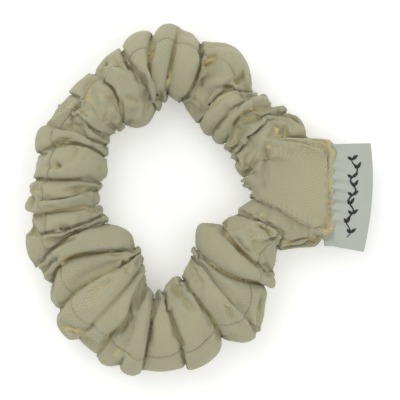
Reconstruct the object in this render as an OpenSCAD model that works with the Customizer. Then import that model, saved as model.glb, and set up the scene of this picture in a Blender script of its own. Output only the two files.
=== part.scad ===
// Scrunchie: a gathered jersey sleeve round a loop of braided elastic, with a
// folded satin label caught in the closing seam.
// The loop lies flat on z = 0, +Z up, and the label points along +X. The
// origin is under the centre of the whole piece, label included.

/* [Loop] */
// Length of the sleeve loop along X, outside to outside, without the label
loop_len = 88.5; // [80:0.5:120]
// Width of the sleeve loop along Y, outside to outside
loop_wid = 103; // [90:1:140]
// Centre-line radius of the two corners of the far bend
bend_r = 28; // [22:1:32]
// Centre-line radius of the two corners beside the label
nose_r = 13.5; // [12.5:0.5:16]
// Ungathered straight length of sleeve behind the label
panel_len = 12; // [6:1:20]

/* [Sleeve] */
// Width of the gathered sleeve, across the loop
sleeve_w = 23; // [20:0.5:25]
// Height of the gathered sleeve where it lies on a table
sleeve_h = 17; // [14:0.5:19]
// Thickness of the gathered jersey
cloth_t = 1.6; // [1:0.1:2.5]
// Width of the raw edges folded inside the lengthwise seam
allowance_w = 5; // [3:0.5:6]
// Thickness of those two edges laid together
allowance_t = 1; // [0.6:0.1:1.6]
// Width of the pressed edge that the label is sewn into
edge_w = 3; // [2:0.5:5]
// Thickness of that pressed edge
edge_t = 2; // [1.6:0.1:3]

/* [Elastic] */
// Width of the braided elastic, standing on edge
elastic_w = 6; // [4:0.5:8]
// Thickness of the braided elastic
elastic_t = 1.2; // [0.8:0.1:1.8]
// Distance of the elastic from the middle of the sleeve, towards the opening
elastic_in = 5; // [3:0.5:6]
// Length over which its two ends are lapped and sewn
lap_len = 10; // [6:1:14]

/* [Label] */
// Width of the satin ribbon, along the seam
label_w = 30; // [20:1:34]
// How far the folded label stands out of the seam
label_out = 12; // [8:0.5:20]
// Thickness of the satin ribbon
ribbon_t = 0.3; // [0.2:0.05:0.4]
// Air between the two leaves of the folded label
leaf_gap = 0.3; // [0.2:0.1:0.6]
// Depth of the ribbon's tails inside the seam
tail_in = 3; // [2:0.5:3.5]

/* [Thread] */
// Length of one visible stitch
stitch_len = 2.2; // [1.5:0.1:3]
// Distance from one stitch to the next
stitch_pitch = 3; // [2.5:0.1:4]
// Thickness of the sewing thread
thread_t = 0.35; // [0.25:0.05:0.5]

/* [Clearances] */
// Gap between two lengths of the loop that pull apart
part_gap = 0.3; // [0.2:0.1:0.6]
// Gap round the ribbon's tails in the seam
tail_gap = 0.05; // [0.03:0.01:0.1]
// Room between the seam's edge and the line that the label folds on
fold_gap = 0.7; // [0.65:0.05:1]

/* [Hidden] */
$fn = 64;

// Heights
mid_z = sleeve_h / 2;
leaf_t = 2 * ribbon_t + leaf_gap;

// Where the seam's edge and the label lie along X
total_len = loop_len + label_out;
left_x = -total_len / 2;
edge_x = left_x + loop_len;
fold_x = edge_x + fold_gap;
tip_x = total_len / 2;

// The sleeve is narrower behind the label, so that its pressed edge ends at edge_x
panel_w = sleeve_w - edge_w;

// Centre line: two far corners and two corners beside the label, joined by
// straight lengths that are tangent to both
far_c = [left_x + sleeve_w / 2 + bend_r, loop_wid / 2 - sleeve_w / 2 - bend_r];
nose_c = [edge_x - sleeve_w / 2 - nose_r, panel_len / 2];
span = nose_c - far_c;
run_a = atan2(span.y, span.x) + acos((bend_r - nose_r) / norm(span));
run_start = nose_c + nose_r * [cos(run_a), sin(run_a)];
run_end = far_c + bend_r * [cos(run_a), sin(run_a)];
run_len = norm(run_end - run_start);

// The run reaches round the far corner as far as its highest point
top_a = 90;

// How far the lengthwise seam lies outside the centre line: in the middle of
// the raw edges, in a sleeve whose outside is w wide
function seam_out(w) = w / 2 - cloth_t - allowance_w / 2;
seam_z = mid_z + allowance_t / 2;

// Half of the gap between two lengths of the loop, as an angle on a radius r
function gap_a(r) = part_gap / 2 / r * 180 / PI;

// Stitches a seam of a length holds
function stitches(length) = max(1, floor(length / stitch_pitch));

// A round-ended outline of width w and height h, centred
module stadium(w, h) {
    square([w - h, h], center = true);
    for (side = [-1, 1])
        translate([side * (w - h) / 2, 0])
            circle(d = h);
}

// Cross-section of the sleeve, w wide: a closed cloth wall, and inside it the
// raw edges of the lengthwise seam. +X points away from the loop's opening.
module sleeve_section(w) {
    inside_w = w - 2 * cloth_t;
    translate([0, mid_z]) {
        difference() {
            stadium(w, sleeve_h);
            stadium(inside_w, sleeve_h - 2 * cloth_t);
        }
        translate([inside_w / 2 - allowance_w, -allowance_t / 2])
            square([allowance_w + cloth_t / 2, allowance_t]);
    }
}

// Cross-section of the sleeve behind the label, with its pressed edge
module panel_section() {
    translate([-edge_w / 2, 0])
        sleeve_section(panel_w);
    translate([sleeve_w / 2 - edge_w - cloth_t / 2, mid_z - edge_t / 2])
        square([edge_w + cloth_t / 2, edge_t]);
}

// Cross-section of the elastic, standing on edge
module elastic_section() {
    translate([-elastic_in - elastic_t / 2, mid_z - elastic_w / 2])
        square([elastic_t, elastic_w]);
}

// Cross-section of a stitch whose underside is at z
module thread_section(z) {
    translate([-thread_t, z])
        square([2 * thread_t, thread_t]);
}

// Sweeps a section round a centre, from one angle to another
module along_arc(centre, r, from, to) {
    translate(centre)
        rotate([0, 0, from])
            rotate_extrude(angle = to - from)
                translate([r, 0])
                    children();
}

// Sweeps a section along a straight length whose outside faces the angle out
module along_line(start, out, length) {
    translate(start)
        rotate([0, 0, out])
            translate([0, length, 0])
                rotate([90, 0, 0])
                    linear_extrude(length)
                        children();
}

// The half of the loop above the X axis, between the label and the far side.
// Its straight length and its arc share one turned frame, so they meet exactly.
module upper_run_path() {
    straight = run_len - part_gap / 2;
    translate(far_c)
        rotate([0, 0, run_a]) {
            along_line([bend_r, -straight], 0, straight)
                children();
            along_arc([0, 0], bend_r, 0, top_a - gap_a(bend_r) - run_a)
                children();
        }
}

// The far side: a straight length between two corners, drawn on the +X side
// and mirrored across, so that each arc starts where the straight length ends
module far_bend_path() {
    for (flip = [0, 1])
        mirror([0, flip, 0])
            mirror([1, 0, 0]) {
                along_line([bend_r - far_c.x, 0], 0, far_c.y)
                    children();
                along_arc([-far_c.x, far_c.y], bend_r, 0, 180 - top_a - gap_a(bend_r))
                    children();
            }
}

// The ungathered length behind the label, between two corners
module label_end_path() {
    for (flip = [0, 1])
        mirror([0, flip, 0]) {
            along_line([nose_c.x + nose_r, 0], 0, nose_c.y)
                children();
            along_arc(nose_c, nose_r, 0, run_a - gap_a(nose_r))
                children();
        }
}

// A row of stitches round a centre, out_by away from the centre line
module stitches_on_arc(centre, r, out_by, from, to) {
    count = stitches((r + out_by) * (to - from) * PI / 180);
    step = (to - from) / count;
    width = step * stitch_len / stitch_pitch;
    for (i = [0 : count - 1]) {
        middle = from + (i + 0.5) * step;
        along_arc(centre, r + out_by, middle - width / 2, middle + width / 2)
            children();
    }
}

// A row of stitches along a straight length, out_by away from its centre line
module stitches_on_line(start, out, out_by, length) {
    count = stitches(length);
    step = length / count;
    width = step * stitch_len / stitch_pitch;
    first = start + out_by * [cos(out), sin(out)];
    for (i = [0 : count - 1])
        along_line(first + ((i + 0.5) * step - width / 2) * [-sin(out), cos(out)], out, width)
            children();
}

// ---- Jersey sleeve ----

module cloth_colour() { color("#aba88b") children(); }

module sleeve_label_end() {
    cloth_colour()
        difference() {
            label_end_path() panel_section();
            // Slot for the label's tails, open towards the label
            translate([edge_x - tail_in, -label_w / 2, mid_z - leaf_t / 2])
                translate(-tail_gap * [1, 1, 1])
                    cube([tail_in + sleeve_w, label_w + 2 * tail_gap, leaf_t + 2 * tail_gap]);
        }
}

module sleeve_upper_run() {
    cloth_colour() upper_run_path() sleeve_section(sleeve_w);
}

module sleeve_lower_run() {
    mirror([0, 1, 0]) sleeve_upper_run();
}

module sleeve_far_bend() {
    cloth_colour() far_bend_path() sleeve_section(sleeve_w);
}

// ---- Elastic ----

module elastic_colour() { color("#efece4") children(); }

module elastic_label_end() {
    elastic_colour() label_end_path() elastic_section();
}

module elastic_upper_run() {
    elastic_colour() upper_run_path() elastic_section();
}

module elastic_lower_run() {
    mirror([0, 1, 0]) elastic_upper_run();
}

module elastic_far_bend() {
    elastic_colour() far_bend_path() elastic_section();
}

// The second end of the elastic, laid on the outside of the first
module elastic_lap() {
    elastic_colour()
        along_line([nose_c.x + nose_r, -lap_len / 2], 0, lap_len)
            translate([elastic_t, 0])
                elastic_section();
}

// Zigzag that holds the lapped ends, on the outer face of the lap
module elastic_lap_stitches() {
    face_x = nose_c.x + nose_r - elastic_in + 1.5 * elastic_t;
    rise = 0.6 * elastic_w;
    row_len = 0.8 * lap_len;
    count = stitches(lap_len) + 1;
    step = row_len / count;
    lean = atan2(step, rise);
    color("#b3b09a")
        for (i = [0 : count - 1])
            translate([face_x, (i + 0.5) * step - row_len / 2, mid_z])
                rotate([(i % 2 == 0 ? 1 : -1) * lean, 0, 0])
                    translate([0, -thread_t / 2, -rise / 2])
                        cube([thread_t, thread_t, rise]);
}

// ---- Sewing thread ----

module thread_colour() { color("#b3b09a") children(); }

module seam_thread_upper_run() {
    straight = run_len - part_gap / 2;
    out_by = seam_out(sleeve_w);
    thread_colour()
        translate(far_c)
            rotate([0, 0, run_a]) {
                stitches_on_line([bend_r, -straight], 0, out_by, straight)
                    thread_section(seam_z);
                stitches_on_arc([0, 0], bend_r, out_by, 0, top_a - gap_a(bend_r) - run_a)
                    thread_section(seam_z);
            }
}

module seam_thread_lower_run() {
    mirror([0, 1, 0]) seam_thread_upper_run();
}

module seam_thread_far_bend() {
    corner = [-far_c.x, far_c.y];
    out_by = seam_out(sleeve_w);
    thread_colour()
        for (flip = [0, 1])
            mirror([0, flip, 0])
                mirror([1, 0, 0]) {
                    stitches_on_line([bend_r - far_c.x, 0], 0, out_by, far_c.y)
                        thread_section(seam_z);
                    stitches_on_arc(corner, bend_r, out_by, 0, 180 - top_a - gap_a(bend_r))
                        thread_section(seam_z);
                }
}

// Beside the label the seam runs on from where the closing stitches end
module seam_thread_label_end() {
    out_by = seam_out(panel_w) - edge_w / 2;
    thread_colour()
        for (flip = [0, 1])
            mirror([0, flip, 0])
                stitches_on_arc(nose_c, nose_r, out_by, run_a / 2, run_a - gap_a(nose_r))
                    thread_section(seam_z);
}

// Stitches that join the two ends of the sleeve, on the inside of its wall at
// the far side: one row under the top and one on the bottom
module cross_seam_thread() {
    wall_x = left_x + sleeve_w / 2;
    flat_w = sleeve_w - sleeve_h;
    count = stitches(flat_w);
    step = flat_w / count;
    width = step * stitch_len / stitch_pitch;
    thread_colour()
        for (z = [cloth_t, sleeve_h - cloth_t - thread_t], i = [0 : count - 1])
            translate([wall_x - flat_w / 2 + (i + 0.5) * step - width / 2, -thread_t, z])
                cube([width, 2 * thread_t, thread_t]);
}

// Topstitching that closes the seam over the label, on both faces of the pressed edge
module closing_stitches() {
    out_by = sleeve_w / 2 - edge_w / 2;
    thread_colour()
        for (z = [mid_z + edge_t / 2, mid_z - edge_t / 2 - thread_t]) {
            stitches_on_line([nose_c.x + nose_r, -nose_c.y], 0, out_by, panel_len)
                thread_section(z);
            for (flip = [0, 1])
                mirror([0, flip, 0])
                    stitches_on_arc(nose_c, nose_r, out_by, 0, run_a / 2)
                        thread_section(z);
        }
}

// ---- Label ----

module satin_colour() { color("#afb5a9") children(); }

// The ribbon's two ends, caught in the seam
module label_tails() {
    satin_colour()
        translate([edge_x - tail_in, -label_w / 2, mid_z - leaf_t / 2])
            for (lift = [0, ribbon_t + leaf_gap])
                translate([0, 0, lift])
                    cube([tail_in, label_w, ribbon_t]);
}

// The folded ribbon outside the seam: two leaves and the round fold at their end.
// The leaves start a little before the fold line and clear the seam when they turn.
module label_ribbon() {
    leaf_start = fold_x - (fold_gap - part_gap) / 2;
    satin_colour()
        translate([0, label_w / 2, mid_z])
            rotate([90, 0, 0])
                linear_extrude(label_w) {
                    for (side = [-1, 1])
                        translate([leaf_start, side * (ribbon_t + leaf_gap) / 2 - ribbon_t / 2])
                            square([tip_x - leaf_t / 2 - leaf_start, ribbon_t]);
                    translate([tip_x - leaf_t / 2, 0])
                        intersection() {
                            difference() {
                                circle(d = leaf_t);
                                circle(d = leaf_gap);
                            }
                            translate([0, -leaf_t])
                                square([leaf_t, 2 * leaf_t]);
                        }
                }
}

// A printed sprig along three quarters of the label: a waved stem with a leaf in
// each bend. A leaf is what two circles share, set apart along the stem.
module label_print() {
    wave_r = 1.6;
    line_t = 0.4;
    print_t = 0.06;
    leaf_r = 0.8 * wave_r;
    leaf_in = 0.3 * wave_r;
    leaf_apart = wave_r;
    waves = floor(0.75 * label_w / (2 * wave_r));
    color("#1c1c1c")
        translate([(fold_x + tip_x) / 2, -(waves - 1) * wave_r, mid_z + leaf_t / 2])
            linear_extrude(print_t)
                for (i = [0 : waves - 1])
                    translate([0, 2 * i * wave_r])
                        mirror([i % 2, 0]) {
                            intersection() {
                                difference() {
                                    circle(wave_r + line_t / 2);
                                    circle(wave_r - line_t / 2);
                                }
                                translate([0, -2 * wave_r])
                                    square([2 * wave_r, 4 * wave_r]);
                            }
                            intersection() {
                                translate([-leaf_in, leaf_apart / 2]) circle(leaf_r);
                                translate([-leaf_in, -leaf_apart / 2]) circle(leaf_r);
                            }
                        }
}

sleeve_label_end();
sleeve_upper_run();
sleeve_lower_run();
sleeve_far_bend();
elastic_label_end();
elastic_upper_run();
elastic_lower_run();
elastic_far_bend();
elastic_lap();
elastic_lap_stitches();
seam_thread_label_end();
seam_thread_upper_run();
seam_thread_lower_run();
seam_thread_far_bend();
cross_seam_thread();
closing_stitches();
label_tails();
label_ribbon();
label_print();
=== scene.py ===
"""Scrunchie: a gathered sleeve of brushed jersey on a loop of braided elastic.

The sleeve is one unbroken tube of cloth. Its rolls are laid from crease to crease round
the loop, and a cloth simulation then settles them on the elastic. A folded satin label is
caught in the edge of the flat length beside it.
"""
import logging
import math
from dataclasses import dataclass, field
from enum import Enum

import bpy
import numpy as np
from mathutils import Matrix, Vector
from mathutils.bvhtree import BVHTree


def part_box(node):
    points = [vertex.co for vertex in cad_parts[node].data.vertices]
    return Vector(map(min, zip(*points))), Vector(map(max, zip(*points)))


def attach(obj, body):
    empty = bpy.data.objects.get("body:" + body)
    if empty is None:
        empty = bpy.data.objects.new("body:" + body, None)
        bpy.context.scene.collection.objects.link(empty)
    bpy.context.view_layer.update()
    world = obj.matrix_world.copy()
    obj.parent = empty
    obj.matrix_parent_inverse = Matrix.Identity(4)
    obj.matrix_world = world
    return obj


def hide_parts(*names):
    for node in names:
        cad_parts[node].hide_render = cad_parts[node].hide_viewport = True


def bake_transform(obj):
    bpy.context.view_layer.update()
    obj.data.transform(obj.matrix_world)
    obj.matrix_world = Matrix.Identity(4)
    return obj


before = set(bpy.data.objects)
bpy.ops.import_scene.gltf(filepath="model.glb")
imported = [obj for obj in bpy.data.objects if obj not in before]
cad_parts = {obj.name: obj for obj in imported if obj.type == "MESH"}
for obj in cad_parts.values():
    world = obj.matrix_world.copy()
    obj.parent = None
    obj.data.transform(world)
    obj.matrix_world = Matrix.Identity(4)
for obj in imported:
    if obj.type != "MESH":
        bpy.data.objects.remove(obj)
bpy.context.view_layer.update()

log = logging.getLogger("scrunchie")

MM = 0.001
# The wave texture runs through 20 radians for each unit of its scale
WAVE = 2 * math.pi / 20


# ---------------------------------------------------------------- small helpers


class Body(str, Enum):
    """The rigid bodies of the frame that the pieces ride on."""

    LABEL_END = "label_end"
    FAR_BEND = "far_bend"
    LABEL_FLAP = "label_flap"


class Slot(str, Enum):
    """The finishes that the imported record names."""

    JERSEY = "jersey"
    ELASTIC = "elastic"
    THREAD = "thread"
    SATIN = "satin_ribbon"
    INK = "label_ink"


def linear(colour: str) -> tuple[float, float, float, float]:
    """Turn an sRGB hex colour into the linear one that shaders take.

    Args:
        colour: Six hex digits after a hash.

    Returns:
        Linear red, green, blue and an alpha of 1.
    """
    channels = [int(colour[i:i + 2], 16) / 255 for i in (1, 3, 5)]
    slope, cut, offset, power = 12.92, 0.04045, 0.055, 2.4
    return (*(c / slope if c <= cut else ((c + offset) / (1 + offset)) ** power for c in channels),
            1.0)


def new_material(name: str) -> tuple[bpy.types.Material, bpy.types.NodeTree]:
    """Make an empty material.

    Args:
        name: Its name, which says what it's made of.

    Returns:
        The material and its node tree.
    """
    material = bpy.data.materials.new(name)
    material.use_nodes = True
    material.node_tree.nodes.clear()
    return material, material.node_tree


def add_node(tree: bpy.types.NodeTree, kind: str, inputs: dict | None = None,
             links: dict | None = None, **settings: object) -> bpy.types.Node:
    """Add one shader node with its settings, values and links.

    Args:
        tree: The node tree of the material or world.
        kind: The node's type name.
        inputs: Value for each input socket, by name or number.
        links: Output socket that feeds each input socket, by name or number.
        **settings: Properties of the node itself.

    Returns:
        The new node.
    """
    node = tree.nodes.new(kind)
    for name, value in settings.items():
        setattr(node, name, value)
    for socket, value in (inputs or {}).items():
        node.inputs[socket].default_value = value
    for socket, source in (links or {}).items():
        tree.links.new(source, node.inputs[socket])
    return node


def make_mesh(name: str, points: np.ndarray, faces: list, uv: np.ndarray | None = None,
              smooth: bool = True) -> bpy.types.Object:
    """Make a mesh object in the scene.

    Args:
        name: Name of the piece.
        points: Corner positions in metres, one row each.
        faces: Corner numbers of each face.
        uv: Texture position of each face corner, in metres of cloth, or None.
        smooth: Whether the faces are shaded smooth.

    Returns:
        The new object.
    """
    mesh = bpy.data.meshes.new(name)
    mesh.from_pydata(np.asarray(points, float).tolist(), [], [list(map(int, f)) for f in faces])
    if uv is not None:
        mesh.uv_layers.new(name="cloth").data.foreach_set("uv", np.asarray(uv, np.float32).ravel())
    mesh.update()
    if smooth:
        mesh.shade_smooth()
    piece = bpy.data.objects.new(name, mesh)
    bpy.context.scene.collection.objects.link(piece)
    return piece


def grid_faces(rows: int, columns: int, round_rows: bool = False,
               round_columns: bool = False) -> np.ndarray:
    """List the four corners of every face of a grid of points.

    Args:
        rows: Points along the first direction.
        columns: Points along the second direction.
        round_rows: Whether the last row joins the first.
        round_columns: Whether the last column joins the first.

    Returns:
        One row of four point numbers for each face.
    """
    i, j = np.meshgrid(np.arange(rows if round_rows else rows - 1),
                       np.arange(columns if round_columns else columns - 1), indexing="ij")
    i_next, j_next = (i + 1) % rows, (j + 1) % columns
    corners = ((i, j), (i_next, j), (i_next, j_next), (i, j_next))
    return np.stack([row * columns + column for row, column in corners], -1).reshape(-1, 4)


def round_curve(turn: np.ndarray, turns: list[float], values: list[float]) -> np.ndarray:
    """Read a smooth closed curve through values given at some turns.

    Args:
        turn: Where to read it, in degrees.
        turns: Rising turns of the known values, within one round.
        values: The known values.

    Returns:
        The curve's value at each turn.
    """
    known = np.concatenate([np.array(turns) - 360, turns, np.array(turns) + 360])
    value = np.tile(np.array(values, float), 3)
    slope = np.gradient(value, known)
    at = np.mod(turn, 360)
    k = np.clip(np.searchsorted(known, at, side="right") - 1, 0, len(known) - 2)
    span = known[k + 1] - known[k]
    t = (at - known[k]) / span
    return ((2 * t**3 - 3 * t**2 + 1) * value[k] + (t**3 - 2 * t**2 + t) * span * slope[k]
            + (3 * t**2 - 2 * t**3) * value[k + 1] + (t**3 - t**2) * span * slope[k + 1])


# ---------------------------------------------------------------------- finishes


@dataclass(frozen=True)
class BrushedJersey:
    """Cotton jersey with a brushed face: matt, with a soft nap that catches light at its edges."""

    face: str = "#aba88b"
    # Painted bounce light: the lighter, warmer tint painted into the folds
    painted_warm_light: str = "#e6d08e"
    lint: str = "#6f6a58"
    wale_mm: float = 0.7
    course_mm: float = 0.65
    loop_lean: float = 0.8
    tuft_mm: float = 0.5
    crumple_mm: float = 4.5
    mottle_mm: float = 9.0
    lint_apart_mm: float = 2.6

    def material(self) -> bpy.types.Material:
        """Build the material; its patterns lie in millimetres of cloth.

        Returns:
            The material, which reads the sleeve's texture positions and the painted bounce light in
            its hollows.
        """
        material, tree = new_material("brushed_cotton_jersey")
        cloth = add_node(tree, "ShaderNodeUVMap", uv_map="cloth").outputs["UV"]
        place = add_node(tree, "ShaderNodeTexCoord").outputs["Object"]

        # Knit loops: columns of V shapes. A real wale is 0.6 mm, drawn a little coarser to show.
        parts = add_node(tree, "ShaderNodeSeparateXYZ", links={0: cloth})
        wale = add_node(tree, "ShaderNodeMath", {1: 1 / (self.wale_mm * MM)},
                        {0: parts.outputs["Y"]}, operation="MULTIPLY")
        side = add_node(tree, "ShaderNodeMath", {1: 1.0}, {0: wale.outputs[0]},
                        operation="PINGPONG")
        course = add_node(tree, "ShaderNodeMath", {1: 1 / (self.course_mm * MM)},
                          {0: parts.outputs["X"]}, operation="MULTIPLY")
        leaning = add_node(tree, "ShaderNodeMath", {1: self.loop_lean},
                           {0: side.outputs[0], 2: course.outputs[0]},
                           operation="MULTIPLY_ADD")
        ribs = add_node(tree, "ShaderNodeMath", {1: 2 * math.pi}, {0: leaning.outputs[0]},
                        operation="MULTIPLY")
        loops = add_node(tree, "ShaderNodeMath", links={0: ribs.outputs[0]}, operation="SINE")

        # Nap: short fibres brushed up from the face in tufts half a millimetre across
        nap = add_node(tree, "ShaderNodeTexNoise",
                       {"Scale": 1 / (self.tuft_mm * MM), "Detail": 4.0, "Roughness": 0.65},
                       {"Vector": place})
        relief = add_node(tree, "ShaderNodeMath", {1: 0.35},
                          {0: loops.outputs[0], 2: nap.outputs["Fac"]}, operation="MULTIPLY_ADD")
        # Crumples left by the hand, 4 to 5 mm across
        crumple = add_node(tree, "ShaderNodeTexNoise",
                           {"Scale": 1 / (self.crumple_mm * MM), "Detail": 3.0,
                            "Roughness": 0.55, "Distortion": 0.6}, {"Vector": place})
        fine = add_node(tree, "ShaderNodeBump", {"Strength": 0.75, "Distance": 0.14 * MM},
                        {"Height": relief.outputs[0]})
        bump = add_node(tree, "ShaderNodeBump", {"Strength": 0.30, "Distance": 0.8 * MM},
                        {"Height": crumple.outputs["Fac"], "Normal": fine.outputs[0]})

        # Colour: painted bounce light, the unbleached yarn tinted lighter and warmer in the folds,
        # where light bounces between them
        painted_warm_light = add_node(tree, "ShaderNodeAttribute", attribute_name="painted_warm_light",
                          attribute_type="GEOMETRY").outputs["Fac"]
        mottle = add_node(tree, "ShaderNodeTexNoise",
                          {"Scale": 1 / (self.mottle_mm * MM), "Detail": 2.0}, {"Vector": place})
        shade = add_node(tree, "ShaderNodeMapRange", {"To Min": 0.94, "To Max": 1.06},
                         {"Value": mottle.outputs["Fac"]})
        yarn = add_node(tree, "ShaderNodeMixRGB", {1: linear(self.face), 2: linear(self.painted_warm_light)},
                        {0: painted_warm_light})
        rib_tone = add_node(tree, "ShaderNodeMapRange",
                            {"From Min": -1.0, "To Min": 0.92, "To Max": 1.06},
                            {"Value": loops.outputs[0]})
        tone = add_node(tree, "ShaderNodeMath",
                        links={0: shade.outputs[0], 1: rib_tone.outputs[0]}, operation="MULTIPLY")
        toned = add_node(tree, "ShaderNodeVectorMath",
                         links={0: yarn.outputs[0], 1: tone.outputs[0]}, operation="MULTIPLY")
        # Lint: a dark fibre here and there, 0.2 mm wide
        flecks = add_node(tree, "ShaderNodeTexVoronoi", {"Scale": 1 / (self.lint_apart_mm * MM)},
                          {"Vector": place}, feature="F1")
        fleck = add_node(tree, "ShaderNodeMapRange",
                         {"From Min": 0.05, "From Max": 0.09, "To Min": 0.55, "To Max": 0.0},
                         {"Value": flecks.outputs["Distance"]})
        final = add_node(tree, "ShaderNodeMixRGB", {2: linear(self.lint)},
                         {0: fleck.outputs[0], 1: toned.outputs[0]})
        shader = add_node(tree, "ShaderNodeBsdfPrincipled",
                          {"Roughness": 0.92, "IOR": 1.5, "Specular IOR Level": 0.25,
                           "Sheen Weight": 0.25, "Sheen Roughness": 0.45},
                          {"Base Color": final.outputs[0], "Normal": bump.outputs[0]})
        add_node(tree, "ShaderNodeOutputMaterial", links={"Surface": shader.outputs[0]})
        return material


@dataclass(frozen=True)
class SatinRibbon:
    """Polyester satin, woven: long floats of filament give it a soft gloss along its width."""

    face: str = "#afb5a9"
    pick_mm: float = 0.7
    ripple_mm: float = 6.0

    def material(self) -> bpy.types.Material:
        """Build the material; the filaments run along the label.

        Returns:
            The material, which reads the label's texture positions.
        """
        material, tree = new_material("woven_polyester_satin")
        place = add_node(tree, "ShaderNodeTexCoord").outputs["Object"]
        cloth = add_node(tree, "ShaderNodeUVMap", uv_map="cloth").outputs["UV"]
        # A real pick is 0.1 mm, drawn coarser to show
        picks = add_node(tree, "ShaderNodeTexWave",
                         {"Scale": WAVE / (self.pick_mm * MM), "Distortion": 1.2, "Detail": 2.0,
                          "Detail Scale": 2.0}, {"Vector": cloth}, bands_direction="X")
        ripple = add_node(tree, "ShaderNodeTexNoise",
                          {"Scale": 1 / (self.ripple_mm * MM), "Detail": 2.0}, {"Vector": place})
        fine = add_node(tree, "ShaderNodeBump", {"Strength": 0.12, "Distance": 0.05 * MM},
                        {"Height": picks.outputs["Fac"]})
        bump = add_node(tree, "ShaderNodeBump", {"Strength": 0.25, "Distance": 0.4 * MM},
                        {"Height": ripple.outputs["Fac"], "Normal": fine.outputs[0]})
        tone = add_node(tree, "ShaderNodeMapRange", {"To Min": 0.95, "To Max": 1.04},
                        {"Value": ripple.outputs["Fac"]})
        face = add_node(tree, "ShaderNodeVectorMath", {0: linear(self.face)[:3]},
                        {1: tone.outputs[0]}, operation="MULTIPLY")
        shader = add_node(tree, "ShaderNodeBsdfPrincipled",
                          {"Roughness": 0.38, "IOR": 1.55, "Specular IOR Level": 0.5,
                           "Anisotropic": 0.5, "Sheen Weight": 0.2, "Sheen Roughness": 0.3},
                          {"Base Color": face.outputs[0], "Normal": bump.outputs[0]})
        add_node(tree, "ShaderNodeOutputMaterial", links={"Surface": shader.outputs[0]})
        return material


@dataclass(frozen=True)
class TwistedYarn:
    """Spun yarn or braid: matt, with the bright and dark diagonal of its strands."""

    name: str
    colour: str
    strand_mm: float

    def material(self) -> bpy.types.Material:
        """Build the material; strands are drawn in the piece's own space.

        Returns:
            The material.
        """
        material, tree = new_material(self.name)
        place = add_node(tree, "ShaderNodeTexCoord").outputs["Object"]
        strands = add_node(tree, "ShaderNodeTexWave",
                           {"Scale": WAVE / (self.strand_mm * MM), "Distortion": 0.6,
                            "Detail": 1.0}, {"Vector": place}, bands_direction="DIAGONAL")
        tone = add_node(tree, "ShaderNodeMapRange", {"To Min": 0.82, "To Max": 1.08},
                        {"Value": strands.outputs["Fac"]})
        yarn = add_node(tree, "ShaderNodeVectorMath", {0: linear(self.colour)[:3]},
                        {1: tone.outputs[0]}, operation="MULTIPLY")
        bump = add_node(tree, "ShaderNodeBump", {"Strength": 0.6, "Distance": 0.1 * MM},
                        {"Height": strands.outputs["Fac"]})
        shader = add_node(tree, "ShaderNodeBsdfPrincipled",
                          {"Roughness": 0.75, "IOR": 1.5, "Sheen Weight": 0.15},
                          {"Base Color": yarn.outputs[0], "Normal": bump.outputs[0]})
        add_node(tree, "ShaderNodeOutputMaterial", links={"Surface": shader.outputs[0]})
        return material


@dataclass(frozen=True)
class ScreenInk:
    """Screen-printing ink on ribbon: matt black, broken a little by the weave."""

    colour: str = "#1a1a19"
    grain_mm: float = 0.3

    def material(self) -> bpy.types.Material:
        """Build the material; the ribbon's weave shows through it as a grain.

        Returns:
            The material.
        """
        material, tree = new_material("screen_printed_ink")
        place = add_node(tree, "ShaderNodeTexCoord").outputs["Object"]
        grain = add_node(tree, "ShaderNodeTexNoise",
                         {"Scale": 1 / (self.grain_mm * MM), "Detail": 2.0}, {"Vector": place})
        tone = add_node(tree, "ShaderNodeMapRange", {"To Min": 0.7, "To Max": 1.6},
                        {"Value": grain.outputs["Fac"]})
        ink = add_node(tree, "ShaderNodeVectorMath", {0: linear(self.colour)[:3]},
                       {1: tone.outputs[0]}, operation="MULTIPLY")
        bump = add_node(tree, "ShaderNodeBump", {"Strength": 0.2, "Distance": 0.03 * MM},
                        {"Height": grain.outputs["Fac"]})
        shader = add_node(tree, "ShaderNodeBsdfPrincipled", {"Roughness": 0.6, "IOR": 1.5},
                          {"Base Color": ink.outputs[0], "Normal": bump.outputs[0]})
        add_node(tree, "ShaderNodeOutputMaterial", links={"Surface": shader.outputs[0]})
        return material


# ------------------------------------------------------------------- the sleeve


@dataclass(frozen=True)
class Crease:
    """A valley between two rolls of cloth, right round the sleeve.

    inner and outer are the turns, in degrees round the opening from the label, where
    the valley meets the elastic and the outside. bow is how many degrees its middle
    lies past the straight line between them. depth is in millimetres, and edge is the
    share of it that shows as a notch in the outline.
    """

    inner: float
    outer: float
    bow: float
    depth: float
    edge: float


@dataclass(frozen=True)
class Girth:
    """How far the sleeve's two sides lie from the middle of the opening, in millimetres."""

    turn: float
    inner: float
    outer: float


@dataclass(frozen=True)
class Tuck:
    """A short pinch in one roll: its route seen from above and its depth, in millimetres."""

    depth: float
    route: tuple[tuple[float, float], ...]


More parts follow.
